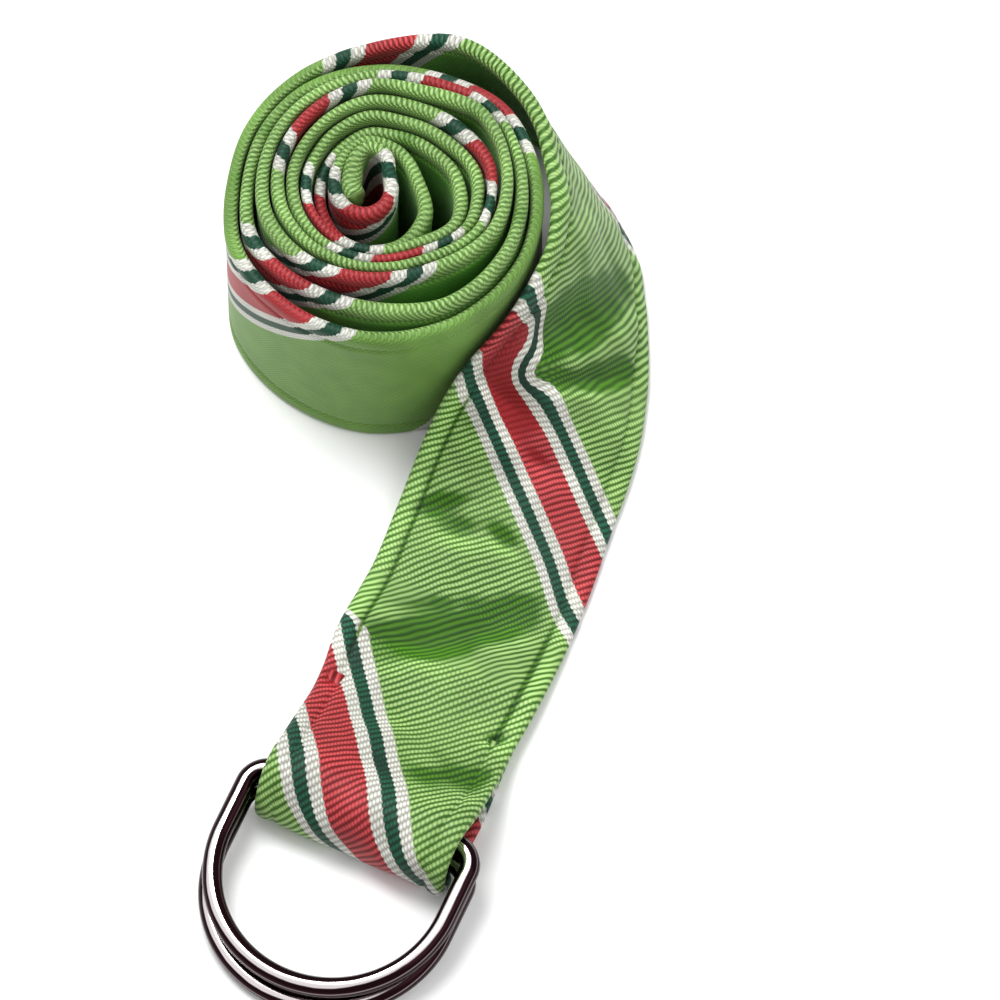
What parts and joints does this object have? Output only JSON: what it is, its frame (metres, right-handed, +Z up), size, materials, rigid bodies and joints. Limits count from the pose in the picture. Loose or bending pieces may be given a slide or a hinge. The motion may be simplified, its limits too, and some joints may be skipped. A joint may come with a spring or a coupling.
{
  "type": "d-ring belt",
  "caption": "Striped silk belt rolled up on its edge, its end folded round the bars of two loose D-rings that the free end threads through.",
  "frame": {"origin": "on the floor under the middle of the rolled belt's box", "axes": "+Z up off the floor, +Y from the D-rings towards the roll, +X to the right of the picture's viewer"},
  "size_m": [0.0829, 0.1868, 0.0435],
  "materials": {
    "silk": "ribbed silk, soft sheen",
    "chrome": "polished"
  },
  "bodies": {
    "strap": {"strap": "silk"},
    "d_ring_lower": {"d_ring_lower": "chrome"},
    "d_ring_upper": {"d_ring_upper": "chrome"}
  },
  "joints": [
    {"name": "d_rings_lift", "type": "hinge", "parent": "strap", "child": "d_ring_lower", "pos_m": [-0.01119, -0.05595, 0.0064], "axis": [-0.91, 0.4147, 0], "range_deg": [0, 90]},
    {"name": "d_ring_upper_lift", "type": "hinge", "parent": "d_ring_lower", "child": "d_ring_upper", "pos_m": [-0.01072, -0.05492, 0.00896], "axis": [-0.91, 0.4147, 0], "range_deg": [0, 90]}
  ]
}
